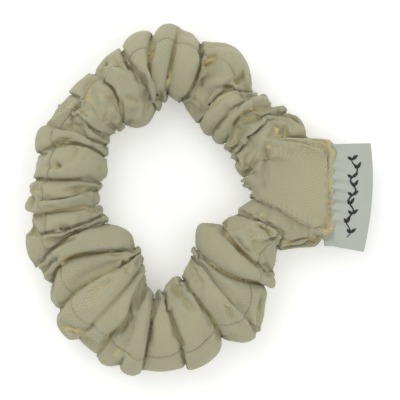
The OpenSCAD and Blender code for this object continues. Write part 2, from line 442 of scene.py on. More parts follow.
CREASES = tuple(Crease(*c) for c in (
    (13, 21.5, 8, 3.4, 1.0), (26, 31, 8, 1.2, 0.2), (34, 35, 5, 1.6, 0.2), (41, 40, 7, 3.6, 0.5),
    (52, 46, 3, 1.6, 0.2), (64, 49, 5, 4.0, 1.0), (80, 77, -2, 3.2, 0.8), (89, 85.5, 0, 4.4, 0.15),
    (92.5, 94, 4, 3.4, 0.8), (96, 106, 0, 2.8, 0.9), (120, 121.5, -5, 4.4, 0.7),
    (127, 133, -1, 1.6, 0.3), (133, 140, 0, 1.2, 0.2), (140, 149, 0, 2.4, 0.4),
    (148, 161, -4, 2.8, 0.3), (168, 174, 0, 3.2, 0.7), (177, 180, 4, 1.6, 0.2),
    (188, 188, 0, 3.2, 0.7), (195, 195, 2, 1.4, 0.2), (205, 209, -4, 4.2, 0.2),
    (240, 217, -13, 4.0, 1.0), (246, 227, -6, 3.8, 0.6), (251, 238, -1, 1.6, 0.8),
    (254, 247, 0, 2.2, 0.6), (258, 255, 0, 1.4, 0.4), (264, 262.5, 0, 4.0, 0.5),
    (268, 277, 2, 3.0, 0.7), (281, 292, 2.5, 3.8, 1.0), (294, 305, 0, 1.6, 0.1),
    (300, 318, 0, 4.8, 0.9), (333, 324, -4, 4.6, 0.2), (346, 335.5, 2, 2.6, 1.0),
    (359, 344, -1, 3.8, 0.8)))

GIRTHS = tuple(Girth(*g) for g in (
    (0, 25, 48.2), (10, 22.5, 49), (17.5, 22, 50.4), (22, 22, 45.5), (30, 22.5, 44.5),
    (40, 21.5, 41.5), (52, 21, 42), (62, 21.5, 45.5), (75, 25, 46.5), (88, 28, 50), (100, 22, 47),
    (112, 21, 46), (130, 23.5, 41), (145, 20.5, 41.5), (160, 18, 39.5), (180, 19, 40),
    (200, 18, 42), (216, 15.5, 44), (232, 15, 48.5), (248, 18.5, 52), (262, 28, 53), (275, 24, 52),
    (290, 21, 47.5), (302, 15, 49.5), (314, 13, 43), (326, 13.5, 39), (336, 18, 39),
    (343, 20, 48.5), (350, 21.5, 49)))

TUCKS = tuple(Tuck(*t) for t in (
    (1.7, ((19, 16), (19, 8.5), (18.5, 3))), (1.5, ((14, 7), (12.5, 11.5), (15, 15))),
    (1.1, ((16.5, 6), (14.5, 9), (16.5, 14.5))), (1.9, ((4.5, 42), (3, 40), (0, 38), (-1.5, 35))),
    (1.9, ((13, 38), (12, 35), (6.5, 32))), (1.1, ((1.5, 25.5), (6.5, 30), (11.5, 31))),
    (3.0, ((-28.5, 40), (-27, 39))), (1.7, ((-25.5, 41.5), (-24, 39), (-18.5, 37))),
    (1.2, ((-22, 29.5), (-17.5, 28))), (1.1, ((-29, 31), (-25, 29), (-23, 25.5))),
    (1.7, ((-36, 27), (-32, 24))), (2.4, ((-41.5, 10.5), (-40, 9.5))),
    (1.0, ((-45, 9.5), (-40.5, 9.5))),
    (1.0, ((-43.5, 15.5), (-37.5, 17.5), (-34.5, 14.5), (-37, 10.5))),
    (1.3, ((-40, 2.5), (-31.5, 3.5))), (1.5, ((-41, -8), (-36.5, -8.5), (-31.5, -7))),
    (1.5, ((-26, -15), (-22.5, -16))), (1.5, ((-22.5, -17.5), (-20, -21))),
    (1.6, ((-32.5, -28), (-29, -25), (-25, -22.5))),
    (1.2, ((-34, -30), (-29.5, -28), (-25.5, -24))), (1.3, ((-23, -38), (-19.5, -33))),
    (1.1, ((-21, -44), (-19.5, -45))), (1.3, ((-14.5, -40.5), (-14.5, -35))),
    (1.7, ((-9.5, -24), (-4.5, -28.5), (-1.5, -32.5))), (1.0, ((-5, -21.5), (-4, -24.5))),
    (1.4, ((7.5, -29.5), (9.5, -35))), (1.3, ((14, -7), (14.5, -9.5), (16, -14), (18, -16.5))),
    (2.6, ((16.5, -6.5), (19, -8), (21, -11))), (1.7, ((10, -10.5), (12, -14.5), (15, -15))),
    (1.4, ((18, -18), (19, -21)))))


@dataclass(frozen=True)
class PressedPanel:
    """The ungathered length behind the label, pressed thin along its outside."""

    fullness: float = 1.12
    # How abruptly the pressed length begins and ends beside its neighbours
    blend: float = 0.35
    # How far the lengthwise seam is turned towards the closed edge, in radians
    seam_turned: float = 0.5
    # How full it stays along the opening, and how much of that it loses at the edge
    inner_full: float = 0.75
    taper: float = 0.80
    raised_mm: float = 0.9
    hold: float = 0.9
    # Painted glow along the pressed edge, standing in for light through the layers turned in behind
    # it
    painted_warmth: float = 0.4


@dataclass(frozen=True)
class Settling:
    """How the cloth simulation is run, in the solver's own units."""

    # The solver needs cloth of about a metre, so it works at ten times the size
    scale: float = 10 * MM
    frames: int = 22
    quality: int = 5
    mass: float = 0.2
    stretch: float = 20.0
    stretch_damping: float = 10.0
    shear: float = 8.0
    bend: float = 60.0
    bend_damping: float = 0.5
    air: float = 4.0
    loft: float = 9.0
    own_distance: float = 0.007
    table_distance: float = 0.004
    table_skin: float = 0.003
    roll_hold: float = 0.03
    hold_per_mm: float = 0.25


@dataclass(frozen=True)
class Pinching:
    """How creases and tucks are drawn in once the cloth has settled, in millimetres."""

    share: float = 0.25
    crease_mm: float = 0.6
    crease_sharp: float = 1.5
    tuck_mm: float = 0.6
    tuck_sharp: float = 1.2
    # The cloth pushed up beside a tuck
    swell: float = 0.25
    swell_at_mm: float = 1.8
    swell_mm: float = 0.9
    end_fade: float = 0.7
    # Share of a tuck's depth that is painted as warm bounce light
    painted_warmth: float = 0.2


@dataclass
class GatheredSleeve:
    """The jersey tube: laid in rolls round the loop, then settled by a cloth simulation."""

    centre: tuple[float, float]
    elastic_z: float
    creases: tuple[Crease, ...] = CREASES
    girths: tuple[Girth, ...] = GIRTHS
    tucks: tuple[Tuck, ...] = TUCKS
    panel: PressedPanel = PressedPanel()
    settling: Settling = Settling()
    pinching: Pinching = Pinching()
    # The strip as cut, and the grid of points laid on it
    cut_mm: float = 75.0
    allowance_mm: float = 5.0
    row_mm: float = 1.75
    points_round: int = 44
    # Points after settling for each one before
    finer: int = 4
    # Radius of the flat tube's two folds
    fold_mm: float = 3.0
    # Radii on which the cloth is shared out, its fullness and the shortest roll
    inner_mm: float = 21.0
    outer_mm: float = 42.0
    fullness: float = 2.2
    shortest_mm: float = 2.5
    fewest_rows: int = 4
    # The rolls: height, unevenness, how far each leans over the next, and roundness
    height_mm: float = 15.2
    lift_mm: float = 0.4
    uneven_mm: float = 1.6
    overhang: float = 0.95
    roundness: float = 0.75
    notch: float = 0.85
    notch_roundness: float = 0.7
    table_gap_mm: float = 0.5
    lowest_mm: float = 0.35
    # The lengthwise seam, in degrees up from the outside, and how deep it dips
    seam_turn: float = 52.0
    seam_dip_mm: float = 0.5
    half_cloth_mm: float = 0.25
    # The elastic that the cloth rests on
    elastic_mm: float = 6.0
    elastic_in: float = 0.6
    elastic_smoothing: int = 240
    elastic_clear_mm: float = 0.6
    # What is worked out while it's built
    rows: dict[str, np.ndarray] = field(default_factory=dict)
    settled: np.ndarray | None = None
    inward: np.ndarray | None = None
    seam: int = 0

    @property
    def flat_round(self) -> float:
        """Length of cloth round the tube, in millimetres."""
        return self.cut_mm - 2 * self.allowance_mm

    def lay_rows(self) -> None:
        """Share the cloth out between the creases, in rows of nearly even spacing."""
        rows = []
        count = len(self.creases)
        for k, crease in enumerate(self.creases):
            after = self.creases[(k + 1) % count]
            flat = k == count - 1
            lap = 360 if flat else 0
            spans = (after.inner + lap - crease.inner, after.outer + lap - crease.outer)
            gap = math.radians(spans[0] * self.inner_mm + spans[1] * self.outer_mm) / 2
            cloth = max(gap, self.shortest_mm) * (self.panel.fullness if flat else self.fullness)
            steps = max(self.fewest_rows, round(cloth / self.row_mm))
            overhang = 0 if flat else self.overhang
            # Two uneven rhythms, so that no two rolls in a row are as tall or as wide
            rise, swell = self.uneven_mm * math.sin(2.4 * k), self.uneven_mm * math.sin(3.9 * k + 1)
            for q in np.arange(steps) / steps:
                share = q - overhang * math.sin(2 * math.pi * q) / 2 / math.pi
                rows.append({
                    "inner": crease.inner + spans[0] * share,
                    "outer": crease.outer + spans[1] * share,
                    "bow": crease.bow + (after.bow - crease.bow) * share,
                    "across": q,
                    "share": share,
                    "depth": crease.depth + (after.depth - crease.depth) * q,
                    "edge": crease.edge + (after.edge - crease.edge) * q,
                    "rise": rise * math.sin(math.pi * q),
                    "swell": swell * math.sin(math.pi * q),
                    "length": cloth / steps,
                    "flat": float(flat),
                })
        self.rows = {name: np.array([row[name] for row in rows]) for name in rows[0]}

    def lay_rolls(self) -> np.ndarray:
        """Lay the tube along the loop with its rolls and valleys.

        Returns:
            Positions in millimetres: rows along the loop, points round the tube, x y z.
        """
        rows, panel = self.rows, self.panel
        q, share, depth, edge, flat, bow, rise, swell = (
            rows[name][:, None]
            for name in ("across", "share", "depth", "edge", "flat", "bow", "rise", "swell"))
        press = flat * np.sin(math.pi * q) ** panel.blend
        self.rows["press"] = press[:, 0]
        round_turn = (np.arange(self.points_round)[None] / self.points_round * 2 * math.pi
                      - panel.seam_turned * press)
        out, up = np.cos(round_turn), np.sin(round_turn)
        outward = 0.5 + 0.5 * out
        turn = rows["inner"][:, None] * (1 - outward) + rows["outer"][:, None] * outward
        turn = turn + bow * up * np.abs(up)
        # Valleys are shallower over the elastic, and at the outside where they don't notch it
        valley = depth * (1 - flat) * (0.5 + 0.5 * outward ** 0.5)
        valley = valley * (1 - (1 - edge) * outward ** 3)
        sink = valley * (1 - np.sin(math.pi * q) ** self.roundness)
        notch = self.notch * valley * (1 - np.sin(math.pi * share) ** self.notch_roundness)
        inner = round_curve(turn, [g.turn for g in self.girths], [g.inner for g in self.girths])
        outer = round_curve(turn, [g.turn for g in self.girths], [g.outer for g in self.girths])
        middle, half = (inner + outer) / 2, (outer - inner) / 2
        tall = self.height_mm / 2
        radius = middle + (half - notch) * out + swell * np.maximum(out, 0)
        height = tall + self.lift_mm + (tall - sink + rise * (up > 0)) * up
        lens = (1 - panel.taper * outward) * panel.inner_full
        height = height * (1 - press) + (tall + panel.raised_mm + tall * up * lens) * press
        turn = np.radians(turn)
        x = self.centre[0] + radius * np.cos(turn)
        y = self.centre[1] + radius * np.sin(turn)
        return np.stack([x, y, np.maximum(height, self.table_gap_mm)], -1)

    def flat_cloth(self) -> np.ndarray:
        """Give the cloth's shape before it is gathered: a long flat tube, joined in a ring.

        Returns:
            Positions in millimetres, in the same order as the laid tube.
        """
        fold = self.fold_mm
        side = (self.flat_round - 2 * math.pi * fold) / 2
        along = np.arange(self.points_round) / self.points_round * self.flat_round
        ends = np.cumsum([side / 2, math.pi * fold, side, math.pi * fold])
        first, second = (along - ends[0]) / fold, (along - ends[2]) / fold
        spans = [along < ends[0], along < ends[1], along < ends[2], along < ends[3]]
        out = np.select(spans, [fold, fold * np.cos(first), -fold, -fold * np.cos(second)], fold)
        up = np.select(spans, [along, side / 2 + fold * np.sin(first), side / 2 - (along - ends[1]),
                               -side / 2 - fold * np.sin(second)], along - self.flat_round)
        length = self.rows["length"]
        turn = np.concatenate([[0], np.cumsum(length)[:-1]]) / length.sum() * 2 * math.pi
        radius = length.sum() / 2 / math.pi + out[None]
        return np.stack([np.cos(turn)[:, None] * radius, np.sin(turn)[:, None] * radius,
                         np.repeat(up[None], len(turn), 0)], -1)

    def hold_weights(self) -> np.ndarray:
        """Say how firmly each point is held while the cloth settles.

        Returns:
            Weights from 0, free, to 1, fixed: the elastic's line and the pressed edge are
            fixed, the valleys are held and the rolls are nearly free.
        """
        rows, hold = self.rows, self.settling
        out = np.cos(np.arange(self.points_round) / self.points_round * 2 * math.pi)[None]
        weights = np.full((len(rows["across"]), self.points_round), hold.roll_hold)
        in_valley = ((rows["across"] == 0) & (rows["flat"] == 0))[:, None]
        firm = np.minimum(hold.hold_per_mm * rows["depth"][:, None], 1)
        weights = np.where(in_valley, firm, weights)
        weights = np.maximum(weights, self.panel.hold * rows["press"][:, None])
        on_elastic = out < -0.99
        return np.where(on_elastic, 1.0, weights)

    def settle(self, laid: np.ndarray) -> np.ndarray:
        """Let the cloth settle round the elastic.

        Args:
            laid: Positions in millimetres, as lay_rolls gives them.

        Returns:
            Settled positions in millimetres.
        """
        how = self.settling
        rows, columns = laid.shape[:2]
        cloth = make_mesh("settling_cloth", laid.reshape(-1, 3) * how.scale,
                          grid_faces(rows, columns, True, True))
        cloth.shape_key_add(name="Basis")
        flat = cloth.shape_key_add(name="flat")
        flat.data.foreach_set("co", (self.flat_cloth() * how.scale).ravel())
        group = cloth.vertex_groups.new(name="held")
        for number, weight in enumerate(self.hold_weights().ravel()):
            group.add([number], float(weight), "REPLACE")
        corners = np.array([(-2, -2, 0), (2, -2, 0), (2, 2, 0), (-2, 2, 0)])
        table = make_mesh("settling_table", corners, [(0, 1, 2, 3)])
        table.modifiers.new("rest", "COLLISION")
        table.collision.thickness_outer = how.table_skin
        modifier = cloth.modifiers.new("settle", "CLOTH")
        sim = modifier.settings
        sim.quality, sim.mass = how.quality, how.mass
        sim.rest_shape_key = flat
        sim.vertex_group_mass, sim.pin_stiffness = "held", 1.0
        sim.tension_stiffness = sim.compression_stiffness = how.stretch
        sim.tension_damping = sim.compression_damping = how.stretch_damping
        sim.shear_stiffness = sim.shear_damping = how.shear
        sim.bending_stiffness, sim.bending_damping = how.bend, how.bend_damping
        sim.air_damping = how.air
        sim.use_pressure, sim.uniform_pressure_force = True, how.loft
        sim.effector_weights.gravity = 0
        touch = modifier.collision_settings
        touch.distance_min, touch.collision_quality = how.table_distance, 2
        touch.use_self_collision, touch.self_distance_min = True, how.own_distance
        scene = bpy.context.scene
        modifier.point_cache.frame_start, modifier.point_cache.frame_end = 1, how.frames + 1
        for moment in range(1, how.frames + 1):
            scene.frame_set(moment)
        settled = cloth.evaluated_get(bpy.context.evaluated_depsgraph_get()).to_mesh()
        points = np.empty(rows * columns * 3, np.float32)
        settled.vertices.foreach_get("co", points)
        scene.frame_set(1)
        for helper in (cloth, table):
            bpy.data.objects.remove(helper, do_unlink=True)
        return points.reshape(rows, columns, 3).astype(float) / how.scale

    @staticmethod
    def normals(points: np.ndarray) -> np.ndarray:
        """Find which way the cloth faces.

        Args:
            points: A tube of points that closes both ways.

        Returns:
            The outward direction at each point.
        """
        along = np.roll(points, -1, 0) - np.roll(points, 1, 0)
        around = np.roll(points, -1, 1) - np.roll(points, 1, 1)
        normal = np.cross(along, around)
        return normal / np.maximum(np.linalg.norm(normal, axis=-1, keepdims=True), 1e-9)

    @staticmethod
    def refine(points: np.ndarray) -> np.ndarray:
        """Put a point on the smooth curve between every two, both ways round the tube.

        Args:
            points: A tube of points that closes both ways.

        Returns:
            The same tube with twice the rows and twice the points round.
        """
        for axis in (0, 1):
            before, after, beyond = (np.roll(points, shift, axis) for shift in (1, -1, -2))
            between = (9 * (points + after) - before - beyond) / 16
            pairs = np.stack([points, between], axis + 1)
            shape = list(points.shape)
            shape[axis] *= 2
            points = pairs.reshape(shape)
        return points

    @staticmethod
    def outward(count: int) -> np.ndarray:
        """Say how far out each of count points round the tube lies, from 0 to 1."""
        return 0.5 + 0.5 * np.cos(np.arange(count) / count * 2 * math.pi)[None]

    @staticmethod
    def along_route(places: np.ndarray, route: np.ndarray) -> tuple[np.ndarray, np.ndarray]:
        """Measure how far places lie from a route of straight lengths.

        Args:
            places: Places seen from above, in millimetres.
            route: The route's points, one row each.

        Returns:
            Each place's distance from the route, and the share of the route before it.
        """
        spans = np.linalg.norm(np.diff(route, axis=0), axis=1)
        start, apart, share = 0.0, np.full(places.shape[:2], np.inf), np.zeros(places.shape[:2])
        for first, last, span in zip(route[:-1], route[1:], spans):
            t = np.clip(((places - first) @ (last - first)) / span**2, 0, 1)
            gap = np.linalg.norm(places - first - t[..., None] * (last - first), axis=-1)
            share = np.where(gap < apart, (start + t * span) / spans.sum(), share)
            apart, start = np.minimum(gap, apart), start + span
        return apart, share

    def pinches(self, points: np.ndarray, normal: np.ndarray) -> np.ndarray:
        """Say how far the cloth is drawn in along its creases and tucks.

        Args:
            points: The tube, in millimetres, four rows for each laid row.
            normal: Its outward normals.

        Returns:
            Depth at each point, in millimetres; less than 0 where cloth is pushed up.
        """
        pinch, rows = self.pinching, len(points)
        in_crease = (self.rows["across"] == 0) & (np.roll(self.rows["flat"], 1) == 0)
        creases = np.flatnonzero(in_crease)
        away = np.abs(np.arange(rows)[:, None] - self.finer * creases[None])
        away = np.minimum(away, rows - away) * self.row_mm / self.finer
        nearest = creases[np.argmin(away, 1)]
        line = (pinch.share * np.exp(-(away.min(1) / pinch.crease_mm) ** pinch.crease_sharp)
                * self.rows["depth"][nearest])
        outward = self.outward(points.shape[1])
        total = line[:, None] * (1 - (1 - self.rows["edge"][nearest][:, None]) * outward ** 3)
        for side in (1, -1):
            # Tucks show where the cloth faces up, and again mirrored where it faces down
            facing = np.clip(side * normal[..., 2] * 2.5 - 0.4, 0, 1)
            flat = points[..., :2] * np.array([1, side])
            for tuck in self.tucks:
                apart, share = self.along_route(flat, np.array(tuck.route, float))
                fade = 1 - pinch.end_fade * (2 * share - 1) ** 4
                swell = pinch.swell * np.exp(-((apart - pinch.swell_at_mm) / pinch.swell_mm) ** 2)
                draw = np.exp(-(apart / pinch.tuck_mm) ** pinch.tuck_sharp) - swell
                total += tuck.depth * fade * facing * draw
        return total

    def hollows(self, points: np.ndarray) -> np.ndarray:
        """Measure how deep in a fold each point lies.

        Args:
            points: The tube, in millimetres.

        Returns:
            0 on the open rolls to 1 deep in a valley; the painted bounce light follows it.
        """
        normal, smooth, total = self.normals(points), points.copy(), 0
        # Rounds of smoothing, for narrow and for wide hollows, and the weight of each
        for rounds, weight in ((12, 0.9), (90, 0.28)):
            for _ in range(rounds):
                smooth = (smooth + np.roll(smooth, 1, 0) + np.roll(smooth, -1, 0)
                          + np.roll(smooth, 1, 1) + np.roll(smooth, -1, 1)) / 5
            total = total + weight * ((smooth - points) * normal).sum(-1)
        shallowest, span = 0.08, 1.1
        deep = np.clip((total - shallowest) / span, 0, 1)
        return deep**2 * (3 - 2 * deep)

    def elastic_line(self, points: np.ndarray) -> tuple[np.ndarray, np.ndarray]:
        """Find where the elastic runs inside the tube.

        Args:
            points: The tube, in millimetres.

        Returns:
            Rising turns in degrees, and the elastic's distance from the centre at each.
        """
        tube = points[..., :2] - np.array(self.centre)
        inside, middle = tube[:, tube.shape[1] // 2], tube.mean(1)
        line = inside + self.elastic_in * (middle - inside)
        for _ in range(self.elastic_smoothing):
            line = (np.roll(line, 1, 0) + line + np.roll(line, -1, 0)) / 3
        turns, order = np.unique(np.degrees(np.arctan2(line[:, 1], line[:, 0])), return_index=True)
        return turns, np.linalg.norm(line, axis=1)[order]

    def over_elastic(self, points: np.ndarray) -> np.ndarray:
        """Keep the cloth over and under the elastic clear of it, as it rests there.

        Args:
            points: The tube, in millimetres.

        Returns:
            The same tube, raised or lowered along the elastic's line.
        """
        level_mm, sloped_mm = 1.0, 2.8
        turns, radii = self.elastic_line(points)
        flat = points[..., :2] - np.array(self.centre)
        turn = np.degrees(np.arctan2(flat[..., 1], flat[..., 0]))
        apart = np.abs(np.linalg.norm(flat, axis=-1) - np.interp(turn, turns, radii, period=360))
        slope = ((apart - level_mm).clip(0) / sloped_mm) ** 2
        need = (self.elastic_mm / 2 + self.elastic_clear_mm) * np.clip(1 - slope, 0, 1)
        side = np.sin(np.arange(points.shape[1]) / points.shape[1] * 2 * math.pi)[None]
        lift = points[..., 2] - self.elastic_z
        raised = np.where(side > 0, np.maximum(lift, need),
                          np.where(side < 0, np.minimum(lift, -need), lift))
        moved = points.copy()
        moved[..., 2] = self.elastic_z + np.where(apart < level_mm + sloped_mm, raised, lift)
        return moved

    def build(self) -> bpy.types.Object:
        """Lay the sleeve in rolls, let it settle, draw in its creases and sew it up.

        Returns:
            The sleeve, as one piece.
        """
        self.lay_rows()
        laid = self.lay_rolls()
        tube = self.refine(self.refine(self.settle(laid)))
        normal = self.normals(tube)
        drawn_in = self.pinches(tube, normal)
        # Painted bounce light: warm in the folds, and along the tucks by a share of their depth
        painted_warm_light = np.maximum(self.hollows(tube), self.pinching.painted_warmth * np.clip(drawn_in, 0, 1))
        tube = self.over_elastic(tube - drawn_in[..., None] * normal)
        tube[..., 2] = np.maximum(tube[..., 2], self.lowest_mm)
        round_points = tube.shape[1]
        seam = round(self.seam_turn / 360 * round_points)
        inward = tube.mean(1, keepdims=True) - tube
        inward /= np.linalg.norm(inward, axis=-1, keepdims=True)
        open_cloth = 1 - np.repeat(self.rows["press"], self.finer)[:, None]
        for shift, share in ((-1, 0.5), (0, 1), (1, 0.5)):
            dip = share * self.seam_dip_mm
            tube[:, seam + shift] += dip * open_cloth * inward[:, seam + shift]
        self.settled, self.inward, self.seam = tube, inward, seam
        # Painted light: the pressed edge is tinted warmer, standing in for light that shines
        # through the layers turned in behind it
        behind = self.panel.painted_warmth * (1 - open_cloth) * self.outward(round_points)**4
        return self.sew(tube, inward, painted_warm_light * open_cloth + behind)

    def sew(self, tube: np.ndarray, inward: np.ndarray, painted_warm_light: np.ndarray) -> bpy.types.Object:
        """Close the tube along its seam, with the raw edges turned in.

        Args:
            tube: The settled tube, in millimetres.
            inward: Directions from the tube's points to its middle.
            painted_warm_light: How much painted warm light each point's cloth gets, from 0 to 1.

        Returns:
            The sleeve, with its texture positions and its finish.
        """
        seam, round_points = self.seam, tube.shape[1]
        order = [(seam + k) % round_points for k in range(round_points + 1)]
        turned_in = (1.5, 3.2, self.allowance_mm)
        around = np.roll(tube, -1, 1)[:, seam] - np.roll(tube, 1, 1)[:, seam]
        around /= np.linalg.norm(around, axis=-1, keepdims=True)
        allowance = [tube[:, seam] + d * inward[:, seam] for d in turned_in]
        left = [line + self.half_cloth_mm * around for line in reversed(allowance)]
        right = [line - self.half_cloth_mm * around for line in allowance]
        strip = np.concatenate([np.stack(left, 1), tube[:, order], np.stack(right, 1)], 1)
        inside = np.ones((len(tube), len(turned_in)))
        shade = np.concatenate([inside, painted_warm_light[:, order], inside], 1)
        rows, columns = strip.shape[:2]
        faces = grid_faces(rows, columns, round_rows=True)
        pitch = self.flat_round / round_points
        steps = np.repeat(self.rows["length"], self.finer) / self.finer
        along = np.concatenate([[0], np.cumsum(steps)]) * MM
        across = np.concatenate([-np.array(turned_in)[::-1], np.arange(round_points + 1) * pitch,
                                 self.flat_round + np.array(turned_in)]) * MM
        i, j = faces[:, 0] // columns, faces[:, 0] % columns
        uv = np.stack([np.stack([along[i + di], across[j + dj]], -1)
                       for di, dj in ((0, 0), (1, 0), (1, 1), (0, 1))], 1)
        sleeve = make_mesh("jersey_sleeve", strip.reshape(-1, 3) * MM, faces, uv)
        # The painted warm light, for the shader to mix in
        depth = sleeve.data.attributes.new("painted_warm_light", "FLOAT", "POINT")
        depth.data.foreach_set("value", shade.ravel().astype(np.float32))
        sleeve.data.materials.append(BrushedJersey().material())
        return sleeve


# -------------------------------------------------------------- thread and elastic


def thread_stitches(name: str, ends: list[tuple[np.ndarray, np.ndarray, np.ndarray]],
                    radius_mm: float) -> bpy.types.Object:
    """Make a row of stitches: short arched lengths of thread whose ends dip into the cloth.

    Args:
        name: Name of the piece.
        ends: First end, second end and the direction out of the cloth, for each stitch, in mm.
        radius_mm: Half the thread's thickness.

    Returns:
        One object that holds every stitch.
    """
    sides, points, faces = 6, [], []
    # Share of the stitch, rise out of the cloth and girth, in thread radii
    stations = ((0.0, -0.9, 0.45), (0.12, 0.1, 0.9), (0.5, 0.75, 1.0), (0.88, 0.1, 0.9),
                (1.0, -0.9, 0.45))
    turn = np.arange(sides) / sides * 2 * math.pi
    for first, last, out in ends:
        way = (last - first) / np.linalg.norm(last - first)
        across = np.cross(way, out)
        across /= np.linalg.norm(across)
        lift = np.cross(across, way)
        start = len(points)
        for share, rise, girth in stations:
            centre = first + share * (last - first) + rise * radius_mm * lift
            points.extend(centre + radius_mm * girth * (math.cos(a) * across + math.sin(a) * lift)
                          for a in turn)
        for ring in range(len(stations) - 1):
            for k in range(sides):
                a, b = start + ring * sides + k, start + ring * sides + (k + 1) % sides
                faces.append((a, b, b + sides, a + sides))
        end = start + (len(stations) - 1) * sides
        faces.append(tuple(range(start + sides - 1, start - 1, -1)))
        faces.append(tuple(range(end, end + sides)))
    return make_mesh(name, np.array(points) * MM, faces)


@dataclass
class SewingThreads:
    """Every row of stitches, each placed from the settled cloth."""

    sleeve: GatheredSleeve
    surface: BVHTree
    edge_x: float
    pitch_mm: float = 3.0
    stitch_mm: float = 2.2
    thread_mm: float = 0.34
    # How far in from the edge the topstitching and the overcasting run
    topstitch_in_mm: float = 1.7
    overcast_in_mm: float = 1.2
    overcast_pitch_mm: float = 0.8
    # Where along the label each of them starts and ends, in millimetres
    topstitch_y: tuple[float, float] = (-11.6, 14.2)
    overcast_y: tuple[float, float] = (-12.0, 3.0)
    # How deep inside the cloth the two hidden seams lie
    lengthwise_in_mm: float = 1.6
    lengthwise_aside_mm: float = 0.4
    cross_in_mm: float = 0.7
    cross_turn: float = 180.0

    def on_cloth(self, x: float, y: float, above: bool) -> np.ndarray | None:
        """Find the cloth over or under a place.

        Args:
            x: Place in millimetres.
            y: Place in millimetres.
            above: Whether the upper face is wanted.

        Returns:
            The point of the cloth in millimetres, or None where there is no cloth.
        """
        height, way = (60, -1) if above else (-20, 1)
        hit = self.surface.ray_cast(Vector((x, y, height)) * MM, Vector((0, 0, way)))[0]
        return None if hit is None else np.array(hit) / MM

    def closing(self) -> bpy.types.Object:
        """Sew the topstitching over the label, and overcast the raw edge beside it.

        Returns:
            Both rows, as one piece.
        """
        ends = []
        for above in (True, False):
            out = np.array([0, 0, 1.0 if above else -1.0])
            for y in np.arange(*self.topstitch_y, self.pitch_mm):
                row_x = self.edge_x - self.topstitch_in_mm
                first = self.on_cloth(row_x, y, above)
                last = self.on_cloth(row_x, y + self.stitch_mm, above)
                if first is not None and last is not None:
                    ends.append((first, last, out))
        for k, y in enumerate(np.arange(*self.overcast_y, self.overcast_pitch_mm)):
            first = self.on_cloth(self.edge_x - self.overcast_in_mm, y, True)
            if first is not None:
                last = np.array([self.edge_x - 0.1, y + (0.7 if k % 2 else 0.1), first[2] - 0.25])
                ends.append((first, last, np.array([0.3, 0, 1.0])))
        return self.finish("closing_thread", ends, self.thread_mm / 2)

    def lengthwise(self) -> bpy.types.Object:
        """Sew the seam along the whole sleeve, hidden on its raw edges.

        Returns:
            The row of stitches.
        """
        sleeve, seam, shortest_mm = self.sleeve, self.sleeve.seam, 0.5
        long, pitch = 4, 6
        line = sleeve.settled[:, seam] + self.lengthwise_in_mm * sleeve.inward[:, seam]
        side = np.roll(sleeve.settled, -1, 1)[:, seam] - sleeve.settled[:, seam]
        side /= np.linalg.norm(side, axis=-1, keepdims=True)
        aside = self.lengthwise_aside_mm * side
        ends = [(line[i] + aside[i], line[i + long] + aside[i], side[i])
                for i in range(0, len(line) - long, pitch)
                if np.linalg.norm(line[i + long] - line[i]) > shortest_mm]
        return self.finish("lengthwise_seam_thread", ends, self.thread_mm / 2)

    def cross(self) -> bpy.types.Object:
        """Sew the seam that joins the sleeve's two ends, in a valley of the far side.

        Returns:
            The row of stitches.
        """
        sleeve = self.sleeve
        creases = np.flatnonzero(sleeve.rows["across"] == 0)
        apart = np.abs(sleeve.rows["outer"][creases] - self.cross_turn)
        row = sleeve.finer * int(creases[np.argmin(apart)])
        long, pitch = 3, 4
        ring = sleeve.settled[row] + self.cross_in_mm * sleeve.inward[row]
        ends = [(ring[j], ring[j + long], sleeve.inward[row, j])
                for j in range(0, len(ring) - long, pitch)]
        return self.finish("cross_seam_thread", ends, self.thread_mm / 2)

    @staticmethod
    def finish(name: str, ends: list, radius: float) -> bpy.types.Object:
        """Make a row of stitches and give it its finish.

        Args:
            name: Name of the piece.
            ends: First end, second end and the direction out of the cloth, for each stitch.
            radius: Half the thread's thickness, in millimetres.

        Returns:
            The row of stitches.
        """
        piece = thread_stitches(name, ends, radius)
        piece.data.materials.append(TwistedYarn(name, "#b3b09a", 0.3).material())
        return piece


